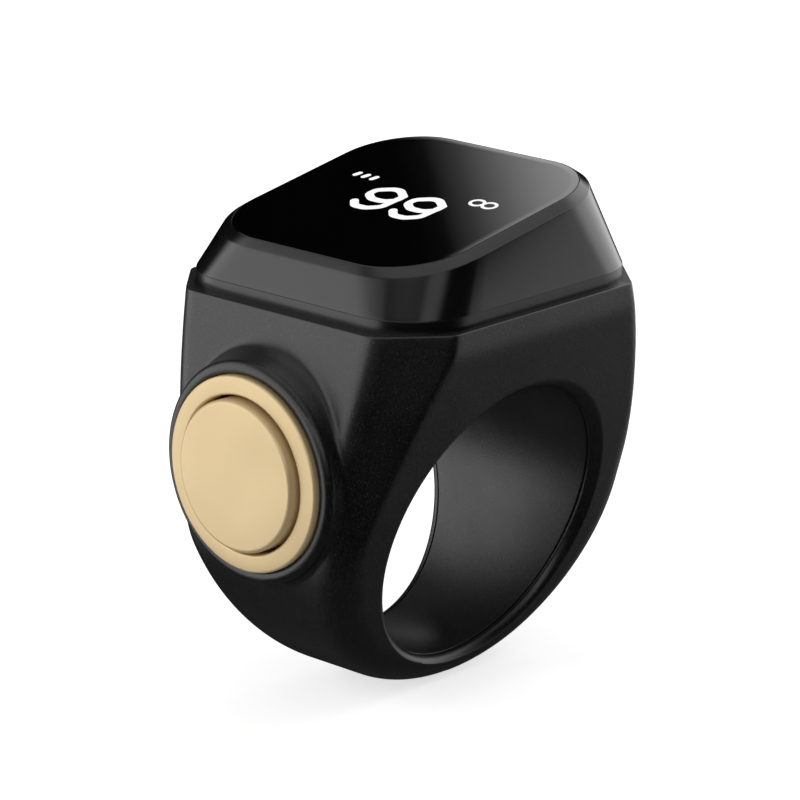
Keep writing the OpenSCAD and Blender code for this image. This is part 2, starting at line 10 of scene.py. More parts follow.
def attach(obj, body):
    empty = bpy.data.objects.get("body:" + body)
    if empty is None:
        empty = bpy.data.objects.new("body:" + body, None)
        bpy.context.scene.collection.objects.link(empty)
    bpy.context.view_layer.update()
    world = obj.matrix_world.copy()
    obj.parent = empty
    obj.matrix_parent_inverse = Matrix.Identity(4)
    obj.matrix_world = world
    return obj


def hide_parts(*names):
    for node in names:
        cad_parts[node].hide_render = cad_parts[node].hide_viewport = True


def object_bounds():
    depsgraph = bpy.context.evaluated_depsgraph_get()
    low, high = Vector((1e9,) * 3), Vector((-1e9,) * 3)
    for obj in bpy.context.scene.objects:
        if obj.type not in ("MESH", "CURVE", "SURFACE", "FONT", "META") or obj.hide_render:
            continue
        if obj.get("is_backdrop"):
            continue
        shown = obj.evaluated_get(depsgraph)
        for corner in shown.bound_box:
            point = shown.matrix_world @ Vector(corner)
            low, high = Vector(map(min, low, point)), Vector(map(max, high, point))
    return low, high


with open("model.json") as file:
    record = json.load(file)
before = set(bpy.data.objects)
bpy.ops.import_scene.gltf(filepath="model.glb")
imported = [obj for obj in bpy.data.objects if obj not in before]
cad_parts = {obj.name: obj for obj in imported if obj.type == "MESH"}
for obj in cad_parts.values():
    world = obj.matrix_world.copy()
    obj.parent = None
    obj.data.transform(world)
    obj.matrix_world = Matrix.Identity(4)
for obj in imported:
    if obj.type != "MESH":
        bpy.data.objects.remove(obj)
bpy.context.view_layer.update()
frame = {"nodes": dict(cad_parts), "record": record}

bl_info = {
    "name": "Tally Ring",
    "version": (1, 0, 0),
    "blender": (4, 5, 0),
    "location": "View3D > Sidebar > Tally Ring",
    "description": "Dresses a finger-ring tally counter: moulded body, glossy head, gold button",
    "category": "Add Mesh",
}

# Shapes are worked out in millimetres and scaled to metres when they become meshes
MM = 0.001

# Body sizes that no user setting changes, in millimetres and radians. A pair is for the plain side
# and the button's side, and the one goes over into the other across CROSSING
CROSSING = 12
# Roundings: of a corner facet at the side face and at the side, with the width over which the one
# goes over into the other, of the side face at its upright strip, and of the side at its face
FACE_SOFT = 0.25
SIDE_SOFT = 0.7
SOFT_REACH = 3
STRIP_SOFT = 0.2
SHANK_SOFT = (1.84, 2.2)
# Belly of the button's side: the height where it starts to curl in, and its rounding
BELLY_Z = 2
BELLY_SOFT = 1
# Corner facets: a middle height, their direction, their reach at that height, their lean, and
# their crown above and below it
FACET_MIDDLE = 10
FACET_TURN = (math.radians(42), math.radians(48))
FACET_REACH = (15.58, 15.447)
FACET_LEAN = (0.04, 0.0274)
FACET_CROWN = (0.012, 0.0055)
FACET_CROWN_LOW = (0.004, 0.0055)
# Boss: its cone, the radius of the flare at its toe, where that flare starts and how wide it gets,
# where the boss starts, where its mesh goes over to turned rings, where it ends, and its fillet
BOSS_CONE = math.radians(12)
BOSS_FLARE = 1.7
BOSS_FOOT = 13
BOSS_FOOT_R = 8.8
BOSS_ROOT = 11
BOSS_SEAM = 15.2
BOSS_END = 17
BOSS_FILLET = 0.2
# Pocket for the button, the seam round its bezel and the fine edge at that seam
POCKET_R = 6.15
POCKET_FLOOR = 11.5
BEZEL_SEAM = 0.08
SEAM_EDGE = 0.04
# Rims of the bore: radius of their inner lip, the liner's seat behind it, depth and fullness of
# their chamfer, and depth of the lip
BORE_LIP_R = 10.05
LINER_SEAT_R = 10.6
RIM_DEPTH = 0.55
RIM_CROWN = 0.33
LIP_DEPTH = 0.76
# Cavity under the head: half width, half length, corner radius and floor
CAVITY = (10.2, 9.6, 3.2)
CAVITY_FLOOR = 11.9
# Where the search for the body's wall starts, inside it, and how often it halves its step
WALL_START = 10
HALVINGS = 26
# Step for the slope of a limit, distance at which two points of a mesh become one, and the part of
# an edge that a rounding may use up, which is one in this many, in lofts and in paths
SLOPE_STEP = 0.01
WELD = 0.0005
LOFT_SHARE = 2.2
PATH_SHARE = 2.1
# How bright dim patches of the plastic and the painted glint on its highest grains are beside its
# colour, the same for dim patches of the figures and of the floor, and the size of the figures' patches
PLASTIC_DIM, PLASTIC_GLINT = 0.6, 6
FIGURES_DIM, FLOOR_DIM = 0.97, 0.99
FIGURES_CELL = 0.3


def millimetres(group, *names):
    """Sizes of a property group, in millimetres."""
    return [getattr(group, name) / MM for name in names]


def linear(colour):
    """An sRGB hex colour as the linear one that shaders take."""
    parts = [int(colour[i:i + 2], 16) / 255 for i in (1, 3, 5)]
    return tuple(c / 12.92 if c <= 0.04045 else ((c + 0.055) / 1.055) ** 2.4 for c in parts)


def toned(colour, share):
    """A colour made darker or brighter."""
    return tuple(c * share for c in colour)


# Shapes

def blend(a, b, soft):
    """The larger of two limits, rounded where they come within soft of each other."""
    return np.maximum(a, b) + np.maximum(soft - np.abs(a - b), 0) ** 2 / (4 * soft)


def body_limit(p, s):
    """Below zero inside the moulded body, without its boss, and with no end at the top."""
    x, y, z = np.abs(p[..., 0]), np.abs(p[..., 1]), p[..., 2]
    drop = s["top"] - z
    # The plain side, and the button's side, which leans out to a belly and curls in below it
    upright = x - s["side"] + (s["side"] - s["top_x"]) * np.clip(z / s["top"], 0, 1) ** 2
    shank = s["side"] * (np.hypot(x / s["side"], z / s["bottom"]) - 1)
    curl = np.minimum(z - BELLY_Z, 0) / (s["bottom"] + BELLY_Z)
    belly = s["belly"] * (np.hypot(x / s["belly"], curl) - 1)
    leaning = (x - s["top_x"]) * math.cos(s["out"]) - drop * math.sin(s["out"])
    side = np.where(p[..., 0] < 0, blend(leaning, belly, BELLY_SOFT), np.where(z > 0, upright, shank))
    face = blend((y - s["face_y"] - s["slope"] * z) / math.hypot(1, s["slope"]),
                 y - s["strip_y"], STRIP_SOFT)
    # Corner facets, slightly crowned from top to bottom, and fuller on the plain side
    rise = z - FACET_MIDDLE
    share = np.clip(0.5 - p[..., 0] / CROSSING, 0, 1)
    turn, reach, lean, crown, crown_low, shank_soft = (
        plain + (button - plain) * share for plain, button in
        (FACET_TURN, FACET_REACH, FACET_LEAN, FACET_CROWN, FACET_CROWN_LOW, SHANK_SOFT))
    facet = (x * np.cos(turn) + y * np.sin(turn) - reach + lean * rise
             + np.where(rise > 0, crown, crown_low) * rise ** 2)
    soft = FACE_SOFT + (SIDE_SOFT - FACE_SOFT) * np.clip(0.5 + (side - face) / SOFT_REACH, 0, 1)
    return blend(blend(side, face, shank_soft), facet, soft)


def cone_radius(out, s):
    """Radius of the boss's flank at a distance out from the bore's axis."""
    return s["boss_r"] + (s["boss_front"] - s["boss_round"] - out) * math.tan(BOSS_CONE)


def moulding_limit(p, s):
    """Body and boss as one moulding. The boss's flank is a cone that flares at its toe."""
    out = -p[..., 0]
    radius = np.hypot(p[..., 1], p[..., 2] - s["button_z"])
    toe = BOSS_FOOT + BOSS_FLARE * (1 - math.sin(BOSS_CONE))
    middle = cone_radius(toe, s) + BOSS_FLARE * math.cos(BOSS_CONE)
    flare = BOSS_FLARE - np.hypot(middle - radius, BOSS_FOOT + BOSS_FLARE - out)
    cone = (radius - cone_radius(out, s)) * math.cos(BOSS_CONE)
    flank = np.where(out < toe, flare, cone)
    boss = np.maximum.reduce([flank, radius - BOSS_FOOT_R, BOSS_ROOT - out, out - BOSS_END])
    return -blend(-body_limit(p, s), -boss, BOSS_FILLET)


def unit(rows):
    """Rows of numbers, each brought to length one."""
    return rows / np.linalg.norm(rows, axis=1)[:, None]


def outward(p, s):
    """Level outward direction of the body's outline at points of one height."""
    dx, dy = (body_limit(p + step, s) - body_limit(p - step, s)
              for step in SLOPE_STEP * np.eye(3)[:2])
    return unit(np.stack([dx, dy, np.zeros(len(p))], -1))


def rounded_outline(x, y, r, corner=20, side=10):
    """Points round a rectangle with rounded corners, with points along its straight sides."""
    quarters = ((1, 1), (-1, 1), (-1, -1), (1, -1))

    def on_corner(q, turn):
        i, j = quarters[q % 4]
        return np.array([i * (x - r), j * (y - r)]) + r * np.array([math.cos(turn), math.sin(turn)])

    points = []
    for q in range(4):
        turns = (q + np.arange(corner + 1) / corner) * math.pi / 2
        points += [on_corner(q, turn) for turn in turns]
        start, end = points[-1], on_corner(q + 1, turns[-1])
        points += [start + (end - start) * k / side for k in range(1, side)]
    return np.array(points)


def once_round(count):
    """Angles of evenly spaced points round a circle."""
    return np.linspace(0, 2 * math.pi, count, endpoint=False)


def bore_ring(s, turn, r, depth, end):
    """Ring about the bore's axis that lies a depth behind the slanted side face at one end."""
    reach = s["face_y"] + s["slope"] * r * np.sin(turn) - depth
    return np.stack([r * np.cos(turn), end * reach, r * np.sin(turn)], -1)


def at_height(outline, z):
    """Points of a level outline, with their height."""
    return np.column_stack([outline, np.full(len(outline), z)])


def polar_outline(angles, x, y, r):
    """Points of a rounded rectangle at given directions from its middle."""
    outline = rounded_outline(x, y, r, corner=40, side=40)
    turn = np.unwrap(np.arctan2(outline[:, 1], outline[:, 0]))
    order = np.argsort(turn)
    turn, outline = turn[order], outline[order]
    turn = np.concatenate([turn - 2 * math.pi, turn, turn + 2 * math.pi])
    length = np.tile(np.linalg.norm(outline, axis=1), 3)
    reach = np.interp(angles, turn, length)
    return np.stack([reach * np.cos(angles), reach * np.sin(angles)], -1)


def bend(a, corner, b, steps):
    """Points of a curve from a to b that a corner draws towards it."""
    return [(1 - t) ** 2 * a + 2 * t * (1 - t) * corner + t * t * b
            for t in np.linspace(0, 1, steps + 1)]


def rounded_corners(rings, reaches, steps=4):
    """Rings of a loft with the edges at its inner rings rounded by the given reaches."""
    out = [rings[0]]
    for k in range(1, len(rings) - 1):
        if not reaches[k]:
            out.append(rings[k])
            continue
        before, corner, after = rings[k - 1], rings[k], rings[k + 1]
        a, b = before - corner, after - corner
        la = np.linalg.norm(a, axis=1)[:, None]
        lb = np.linalg.norm(b, axis=1)[:, None]
        pa = corner + a / la * np.minimum(reaches[k], la / LOFT_SHARE)
        pb = corner + b / lb * np.minimum(reaches[k], lb / LOFT_SHARE)
        out += bend(pa, corner, pb, steps)
    out.append(rings[-1])
    return out


def eased(path, radius, closed=False, steps=5):
    """A path with its corners rounded."""
    path = np.array(path, float)
    n = len(path)
    out = []
    for i in range(n):
        if not closed and i in (0, n - 1):
            out.append(path[i])
            continue
        a, b = path[i - 1] - path[i], path[(i + 1) % n] - path[i]
        la, lb = np.linalg.norm(a), np.linalg.norm(b)
        a = path[i] + a / la * min(radius, la / PATH_SHARE)
        b = path[i] + b / lb * min(radius, lb / PATH_SHARE)
        out += bend(a, path[i], b, steps)
    return np.array(out)


def stroke(path, width, closed=False, ends=10):
    """Flat pen stroke along a path, with round ends: points and faces in its plane."""
    n = len(path)
    ahead = np.roll(path, -1, 0) - path
    behind = path - np.roll(path, 1, 0)
    if not closed:
        ahead[-1], behind[0] = behind[-1], ahead[0]
    along = unit(unit(ahead) + unit(behind))
    side = np.stack([-along[:, 1], along[:, 0]], -1) * width / 2
    points = list(path + side) + list(path - side)
    faces = [(i, (i + 1) % n, n + (i + 1) % n, n + i) for i in range(n if closed else n - 1)]
    if not closed:
        for i, sign in ((0, -1), (n - 1, 1)):
            first = len(points)
            for t in np.linspace(0, math.pi, ends + 1)[1:-1]:
                points.append(path[i] + side[i] * math.cos(t)
                              + sign * along[i] * width / 2 * math.sin(t))
            faces.append((i, *range(first, len(points)), n + i))
    return np.array(points), faces


# Meshes

def new_mesh(name, points, faces, scale=MM):
    """A mesh from points, in millimetres unless another scale is given."""
    mesh = bpy.data.meshes.new(name)
    mesh.from_pydata([tuple(p) for p in np.asarray(points) * scale], [], faces)
    return mesh


def piece(name, points, faces, material, body="case", sharp=40):
    """A mesh object from millimetre points, smooth but for edges sharper than an angle."""
    return settle(name, new_mesh(name, points, faces), material, body, sharp)


def put(name, data):
    """A new object in the scene."""
    obj = bpy.data.objects.new(name, data)
    bpy.context.scene.collection.objects.link(obj)
    return obj


def settle(name, mesh, material, body, sharp=40):
    """Turns a mesh into a scene object that rides on a body."""
    bm = bmesh.new()
    bm.from_mesh(mesh)
    bmesh.ops.remove_doubles(bm, verts=bm.verts, dist=WELD * MM)
    bmesh.ops.recalc_face_normals(bm, faces=bm.faces)
    bm.to_mesh(mesh)
    bm.free()
    mesh.validate()
    mesh.polygons.foreach_set("use_smooth", [True] * len(mesh.polygons))
    mesh.set_sharp_from_angle(angle=math.radians(sharp))
    mesh.materials.append(material)
    obj = put(name, mesh)
    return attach(obj, body)


def net(rows, closed_rows=True):
    """Points and quads of a grid of closed rows, with the last joined to the first as told."""
    n, m = len(rows), len(rows[0])
    points = np.concatenate(rows)
    faces = [(i * m + j, i * m + (j + 1) % m, (i + 1) % n * m + (j + 1) % m, (i + 1) % n * m + j)
             for i in range(n if closed_rows else n - 1) for j in range(m)]
    return points, faces


def turned(profile, button_z, a):
    """Rings of a profile of [radius, distance out] about the button's axis, at given angles."""
    return [np.stack([np.full(len(a), -out), r * np.cos(a), button_z + r * np.sin(a)], -1)
            for r, out in profile]


def lathe(profile, button_z, turns=256):
    """Net of a profile turned about the button's axis."""
    return net(turned(profile, button_z, once_round(turns)))


def arc(r, out, radius, start, end, steps=8):
    """Profile points of an arc about [r, out], in degrees from the radial direction."""
    return [[r + radius * math.cos(math.radians(t)), out + radius * math.sin(math.radians(t))]
            for t in np.linspace(start, end, steps + 1)]


def cut_off(bm, place, direction):
    """Cuts away what lies past a plane: vertices of the open edge in order, and their points."""
    bmesh.ops.bisect_plane(bm, geom=bm.verts[:] + bm.edges[:] + bm.faces[:],
                           plane_co=place, plane_no=direction, clear_outer=True)
    edges = [e for e in bm.edges if e.is_boundary]
    after = {}
    for e in edges:
        for v in e.verts:
            after.setdefault(v, []).append(e.other_vert(v))
    start = edges[0].verts[0]
    loop, last, now = [start], None, start
    while True:
        ways = [v for v in after[now] if v is not last]
        last, now = now, ways[0]
        if now is start:
            return loop, np.array([v.co for v in loop])
        loop.append(now)


def grow(bm, loop, rings):
    """Carries a mesh on from its open edge through rings of points, and closes the last one."""
    for ring in rings:
        new = [bm.verts.new(p) for p in ring]
        n = len(new)
        for i in range(n):
            bm.faces.new((loop[i], loop[(i + 1) % n], new[(i + 1) % n], new[i]))
        loop = new
    bm.faces.new(loop)


# Materials

def add(tree, kind, inputs=None, **settings):
    """Adds one node. Inputs are values, or sockets that they are linked from."""
    node = tree.nodes.new(kind)
    for key, value in settings.items():
        setattr(node, key, value)
    for key, value in (inputs or {}).items():
        if isinstance(value, bpy.types.NodeSocket):
            tree.links.new(value, node.inputs[key])
        else:
            node.inputs[key].default_value = value
    return node


def blank_material(name):
    """A material with no nodes, and its tree."""
    mat = bpy.data.materials.new(name)
    mat.use_nodes = True
    mat.node_tree.nodes.clear()
    return mat, mat.node_tree


def surface(name, dark, light, roughness, grain, depth, shader, cloud=4.0, spread=0.04, painted_glint=None):
    """A finish with fine grain and a faint drift of colour and roughness. grain is the size of
    its grains, depth their height and cloud the size of the drift, all in millimetres. spread is
    how far the roughness drifts, and the last argument is the brighter colour painted on the highest
    grains: a painted glint that stands in for light catching them."""
    mat, tree = blank_material(name)
    place = add(tree, "ShaderNodeTexCoord").outputs["Object"]
    drift = add(tree, "ShaderNodeTexNoise", {"Vector": place, "Scale": 1 / (cloud * MM), "Detail": 3.0})
    grains = add(tree, "ShaderNodeTexNoise", {"Vector": place, "Scale": 1 / (grain * MM), "Roughness": 0.6})
    colour = light + (1,)
    if dark != light:
        colour = add(tree, "ShaderNodeMix", {"Factor": drift.outputs["Fac"], "A": dark + (1,),
                                             "B": colour}, data_type="RGBA").outputs["Result"]
    # Painted glint: the highest grains get a brighter base colour, which stands in for light catching them
    if painted_glint:
        high = add(tree, "ShaderNodeMapRange", {"Value": grains.outputs["Fac"], "From Min": 0.55,
                                                "From Max": 0.75})
        colour = add(tree, "ShaderNodeMix", {"Factor": high.outputs["Result"], "A": colour,
                                             "B": painted_glint + (1,)}, data_type="RGBA").outputs["Result"]
    rough = add(tree, "ShaderNodeMapRange", {
        "Value": drift.outputs["Fac"], "From Min": 0.3, "From Max": 0.7,
        "To Min": roughness - spread, "To Max": roughness + spread})
    bump = add(tree, "ShaderNodeBump", {"Height": grains.outputs["Fac"], "Distance": depth * MM})
    principled = add(tree, "ShaderNodeBsdfPrincipled", {
        "Base Color": colour, "Roughness": rough.outputs["Result"],
        "Normal": bump.outputs["Normal"], **shader})
    add(tree, "ShaderNodeOutputMaterial", {"Surface": principled.outputs["BSDF"]})
    return mat


# Finishes of the works inside the case, seen only when it is taken apart: slot, name, darker and
# lighter colour, roughness, size and height of the grain in millimetres, and shader settings
WORKS = (
    # Dark glass with a clean reflection
    ("panel_glass", "display_glass", "#15161A", "#1B1C22", 0.1, 0.5, 0.0001, {"IOR": 1.52}),
    # Slippery moulded white with a soft sheen
    ("actuator_plastic", "white_acetal_moulded", "#D6D4CE", "#DEDCD6", 0.4, 0.12, 0.001, {"IOR": 1.48}),
    # Dull black that shows hardly any reflection
    ("seal_rubber", "black_silicone_moulded", "#111111", "#181818", 0.6, 0.15, 0.002, {"IOR": 1.41}),
    # Chalky white with open pores
    ("foam_tape", "white_foam_tape", "#D9D6CE", "#E6E3DB", 0.8, 0.2, 0.01, {"IOR": 1.5}),
    # Copper that shows brown through a glossy film
    ("copper_film", "copper_polyimide_film", "#9A5A24", "#B5713A", 0.35, 0.3, 0.0005, {"IOR": 1.6}),
    # Green lacquer over faintly woven glass
    ("board_laminate", "green_solder_mask_laminate", "#12402A", "#1D5237", 0.3, 0.4, 0.001, {"IOR": 1.55}),
    # Flat charcoal from a filled resin
    ("chip_resin", "black_epoxy_moulded", "#1A1A1C", "#242427", 0.5, 0.1, 0.002, {"IOR": 1.55}),
    # Silver with fine creases
    ("cell_foil", "aluminium_foil_pouch", "#C4C6C9", "#D6D8DB", 0.3, 0.5, 0.003, {"Metallic": 1.0}),
    # Bright cool grey
    ("screw_steel", "steel_zinc_plated", "#B4B8BC", "#C4C8CC", 0.3, 0.2, 0.0005, {"Metallic": 1.0}),
    # Bright grey with a warm cast
    ("tab_nickel", "nickel_strip", "#B0AEA6", "#C2C0B8", 0.28, 0.3, 0.0005, {"Metallic": 1.0}),
    # Smooth silver-grey
    ("motor_steel", "steel_drawn_can", "#A8ABAF", "#BEC1C5", 0.25, 0.3, 0.0005, {"Metallic": 1.0}),
    # Dark grey with a dry, sandy skin
    ("rotor_metal", "sintered_tungsten", "#5C5956", "#74706C", 0.45, 0.12, 0.002, {"Metallic": 1.0}),
)


def make_materials(colours):
    """Every finish, by the record's slot name."""
    black, gold = tuple(colours.plastic), tuple(colours.gold)
    # The plastic's dim patches, and the brighter colour of its painted glint on the highest grains
    dim, painted_glint_colour = toned(black, PLASTIC_DIM), toned(black, PLASTIC_GLINT)
    made = {
        # ABS moulded against a fine spark-eroded tool: deep black, a soft sheen at the edges and
        # a painted glint: brighter colour on the highest grains, standing in for light grazing them. The
        # grain is drawn at 0.11 mm so that it shows
        "body_plastic": surface("black_abs_moulded_fine_grain", dim, black, 0.33, 0.11, 0.014,
                                {"IOR": 1.5}, painted_glint=painted_glint_colour),
        # Polyamide sleeve, moulded and left satin: a broad dim glow along the bore, and a painted glint of
        # brighter colour on its highest grains
        "liner_plastic": surface("black_polyamide_moulded_satin", dim, black, 0.4, 0.11, 0.014,
                                 {"IOR": 1.53}, painted_glint=painted_glint_colour),
        # Polycarbonate, moulded satin: a plain grey band between glossy and grained parts
        "neck_plastic": surface("black_polycarbonate_moulded_satin", dim, black, 0.26, 0.1, 0.001,
                                {"IOR": 1.58, "Specular IOR Level": 0.38}),
        # Polycarbonate from a polished tool: clear upright streaks of the studio's lights
        "cover_plastic": surface("black_polycarbonate_moulded_polished", dim, black, 0.16, 0.6, 0.0002,
                                 {"IOR": 1.58}, cloud=6.0, spread=0.02),
        # Toughened glass printed black on its back: a dead black pane with one clean reflection
        "lens_glass": surface("toughened_glass_black_print", linear("#050506"), linear("#070708"),
                              0.05, 0.8, 0.00005, {"IOR": 1.52}, cloud=7.0, spread=0.01),
        # Aluminium, bead-blasted and anodised champagne: an even matte gold with soft bright edges
        "bezel_gold": surface("champagne_aluminium_anodised", gold, gold, 0.42, 0.12, 0.0012,
                              {"Metallic": 0.35}),
        "cap_gold": surface("champagne_aluminium_anodised_cap", gold, gold, 0.42, 0.12, 0.0012,
                            {"Metallic": 0.35}),
        # Gold over nickel, plated: small bright contacts in the bore
        "contact_gold": surface("gold_plating", linear("#E6B955"), linear("#EFC566"), 0.25, 0.3, 0.0003,
                                {"Metallic": 1.0}),
        # Acetal, moulded black: slippery, with a soft sheen, inside the cap
        "plunger_plastic": surface("black_acetal_moulded", dim, black, 0.4, 0.12, 0.001, {"IOR": 1.48}),
    }
    for slot, name, dark, light, *rest in WORKS:
        made[slot] = surface(name, linear(dark), linear(light), *rest)
    return made


def lit_figures(colour):
    """Lit display segments: an even white that needs no light of its own from outside."""
    mat, tree = blank_material("lit_display_segments")
    place = add(tree, "ShaderNodeTexCoord").outputs["Object"]
    cells = add(tree, "ShaderNodeTexNoise", {"Vector": place, "Scale": 1 / (FIGURES_CELL * MM)})
    tint = add(tree, "ShaderNodeMix", {
        "Factor": cells.outputs["Fac"], "A": toned(colour, FIGURES_DIM) + (1,), "B": tuple(colour) + (1,)},
        data_type="RGBA")
    shader = add(tree, "ShaderNodeBsdfPrincipled", {
        "Base Color": (0.02, 0.02, 0.02, 1), "Roughness": 0.3, "Emission Color": tint.outputs["Result"],
        "Emission Strength": 1.0})
    add(tree, "ShaderNodeOutputMaterial", {"Surface": shader.outputs["BSDF"]})
    return mat


# Settings

def metres(name, description, size):
    """A size that a user may change."""
    return bpy.props.FloatProperty(name=name, description=description, default=size,
                                   unit="LENGTH", subtype="DISTANCE")


def degrees(name, description, slant):
    """A slant that a user may change."""
    return bpy.props.FloatProperty(name=name, description=description, default=math.radians(slant),
                                   unit="ROTATION", subtype="ANGLE")


def shade(name, description, code):
    """A colour that a user may change, from its hex code."""
    return bpy.props.FloatVectorProperty(name=name, description=description, default=linear(code),
                                         subtype="COLOR", min=0, max=1)


class TallyRingBody(bpy.types.PropertyGroup):
    """Sizes of the moulded ring body."""
    side: metres("Half width", "Half the body's widest width", 0.01375)
    belly: metres("Button side reach", "Half width on the button's side", 0.0151)
    bottom: metres("Shank depth", "From the bore's axis to the lowest point", 0.01206)
    top: metres("Top height", "From the bore's axis to the body's top edge", 0.01612)
    top_x: metres("Half top width", "Half the body's width at its top edge", 0.01283)
    face_y: metres("Half length", "Half the body's length at the bore's axis", 0.00787)
    strip_y: metres("Half top length", "Half the body's length at its top edge", 0.01236)
    lean: degrees("Face lean", "How far the two side faces lean outwards", 17.1)
    out: degrees("Button side lean", "How far the button's side leans outwards", 13.3)
    rim: metres("Rim width", "Width of the rounded rim round the bore", 0.00053)
    edge: metres("Top edge round", "Radius of the body's top edge", 0.00010)


class TallyRingHead(bpy.types.PropertyGroup):
    """Sizes of the neck, the cover and the display lens."""
    neck_x: metres("Neck half width", "Half the neck's width", 0.01188)
    neck_y: metres("Neck half length", "Half the neck's length", 0.01170)
    neck_r: metres("Neck corner", "Corner radius of the neck", 0.00515)
    neck_top: metres("Neck top", "Height of the seam between neck and cover", 0.01695)
    screen_x: metres("Display half width", "Half the display's width", 0.00975)
    screen_y: metres("Display half length", "Half the display's length", 0.00994)
    screen_r: metres("Display corner", "Corner radius of the display", 0.00514)
    screen_z: metres("Display height", "Height of the display's middle", 0.02155)
    shift: metres("Display shift", "Shift of the display towards the button", 0.00043)
    tilt: degrees("Display tilt", "Tilt of the display towards the button", 10.1)


class TallyRingButton(bpy.types.PropertyGroup):
    """Sizes of the boss, the bezel ring and the cap."""
    button_z: metres("Button height", "Height of the button's axis", 0.00567)
    boss_r: metres("Boss radius", "Radius of the boss at its rim", 0.00768)
    boss_front: metres("Boss front", "From the bore's axis to the boss's rim", 0.01590)
    boss_round: metres("Boss round", "Radius of the boss's rim", 0.00055)
    bezel_out: metres("Bezel radius", "Outside radius of the bezel ring", 0.00674)
    bezel_in: metres("Bezel bore", "Inside radius of the bezel ring", 0.00545)
    bezel_back: metres("Bezel back", "From the bore's axis to the bezel's back", 0.01485)
    bezel_front: metres("Bezel front", "From the bore's axis to the bezel's face", 0.01640)
    cap_r: metres("Cap radius", "Radius of the button's cap", 0.00523)
    cap_front: metres("Cap front", "From the bore's axis to the cap's face", 0.01702)
    cap_back: metres("Cap back", "From the bore's axis to the cap's skirt end", 0.01550)


class TallyRingColours(bpy.types.PropertyGroup):
    """Colours that show."""
    plastic: shade("Plastic", "Black of the mouldings", "#131314")
    gold: shade("Gold", "Champagne gold of the button", "#DDC496")
    figures: shade("Figures", "Colour of the lit figures", "#FFFFFF")
    floor: shade("Floor", "Colour of the studio floor", "#F2F2F2")


def body_sizes(scene):
    """The body's and the button's sizes in millimetres, by name, and the body's two slants."""
    body, button = scene.tally_ring_body, scene.tally_ring_button
    s = {name: getattr(group, name) / MM for group in (body, button)
         for name in type(group).__annotations__ if name not in ("lean", "out")}
    s.update(slope=math.tan(body.lean), out=body.out, rim_r=BORE_LIP_R + s["rim"])
    return s


def finishes(scene):
    """The materials by slot, made once for the scene."""
    if "tally_ring_ready" not in scene:
        for slot, mat in make_materials(scene.tally_ring_colours).items():
            mat["slot"] = slot
            mat.use_fake_user = True
        scene["tally_ring_ready"] = True
    return {m["slot"]: m for m in bpy.data.materials if "slot" in m}


# Operators

class TALLYRING_OT_body(bpy.types.Operator):
    """Makes the moulded ring body with its facets, rims and the boss for the button"""
    bl_idname = "tally_ring.body"
    bl_label = "Ring body"

    # Points round the bore, rows of the wall from its crest to a rim, and steps of the roundings
    TURNS = 640
    ROWS = 84
    EDGE_STEPS = 5
    BOSS_STEPS = 12
    # Where the rows of the rim's rounded chamfer lie: first and last close to its crisp edges
    CHAMFER = (0, 0.03, 0.2, 0.4, 0.6, 0.8, 0.97)

    def execute(self, context):
        s = body_sizes(context.scene)
        turn = once_round(self.TURNS)
        cos, sin = np.cos(turn), np.sin(turn)

        def rim(end):
            rows = [bore_ring(s, turn, r, LIP_DEPTH, end) for r in (LINER_SEAT_R, BORE_LIP_R)]
            for t in self.CHAMFER:
                inward = 2 * t * (1 - t) * RIM_CROWN
                rows.append(bore_ring(s, turn, BORE_LIP_R + s["rim"] * (inward + t * t),
                                      RIM_DEPTH * ((1 - t) ** 2 + inward), end))
            return rows

        lift = np.arctan2(s["face_y"] + s["slope"] * s["rim_r"] * sin, s["rim_r"])
        share = np.linspace(-1, 1, 2 * self.ROWS + 1)[:, None]
        angle = share * lift
        d = np.stack([np.cos(angle) * cos, np.sin(angle), np.cos(angle) * sin], -1)
        low = WALL_START * np.cos(angle)
        high = np.full(low.shape, 2 * s["top"])
        for _ in range(HALVINGS):
            mid = (low + high) / 2
            out = moulding_limit(d * mid[..., None], s) > 0
            high = np.where(out, mid, high)
            low = np.where(out, low, mid)
        wall = d * low[..., None]
        points, faces = net(rim(-1) + list(wall) + rim(1)[::-1])

        mesh = new_mesh("ring_shell", points, faces, scale=1)
        bm = bmesh.new()
        bm.from_mesh(mesh)
        # Flat top: the wall is cut below its edge, and the edge is carried round and inwards
        cut_z = s["top"] - s["edge"]
        loop, start = cut_off(bm, (0, 0, cut_z), (0, 0, 1))
        normal = outward(start, s)
        rings = []
        for t in np.linspace(0, math.pi / 2, self.EDGE_STEPS + 1)[1:]:
            ring = start - normal * s["edge"] * (1 - math.cos(t))
            ring[:, 2] = cut_z + s["edge"] * math.sin(t)
            rings.append(ring)
        cavity = polar_outline(np.arctan2(start[:, 1], start[:, 0]), *CAVITY)
        rings += [at_height(cavity, s["top"]), at_height(cavity, CAVITY_FLOOR)]
        grow(bm, loop, rings)
        # Boss: the flank is cut short and carried on as turned rings, so that its rim is true
        loop, start = cut_off(bm, (-BOSS_SEAM, 0, 0), (-1, 0, 0))
        turn = np.arctan2(start[:, 2] - s["button_z"], start[:, 1])
        true_r = cone_radius(BOSS_SEAM, s)
        for v, t in zip(loop, turn):
            v.co = (-BOSS_SEAM, true_r * math.cos(t), s["button_z"] + true_r * math.sin(t))
        round_r = s["boss_round"]
        seat_r = s["bezel_out"] + BEZEL_SEAM
        profile = arc(s["boss_r"] - round_r, s["boss_front"] - round_r, round_r, 0, 90, self.BOSS_STEPS)
        profile += [[seat_r + SEAM_EDGE, s["boss_front"]], [seat_r, s["boss_front"] - SEAM_EDGE],
                    [seat_r, s["bezel_back"]], [POCKET_R, s["bezel_back"]], [POCKET_R, POCKET_FLOOR]]
        grow(bm, loop, turned(profile, s["button_z"], turn))
        bm.to_mesh(mesh)
        bm.free()
        mesh.transform(Matrix.Scale(MM, 4))
        shell = settle("ring_shell", mesh, finishes(context.scene)["body_plastic"], "case", sharp=50)
        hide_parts("ring_body")
        return {"FINISHED"}


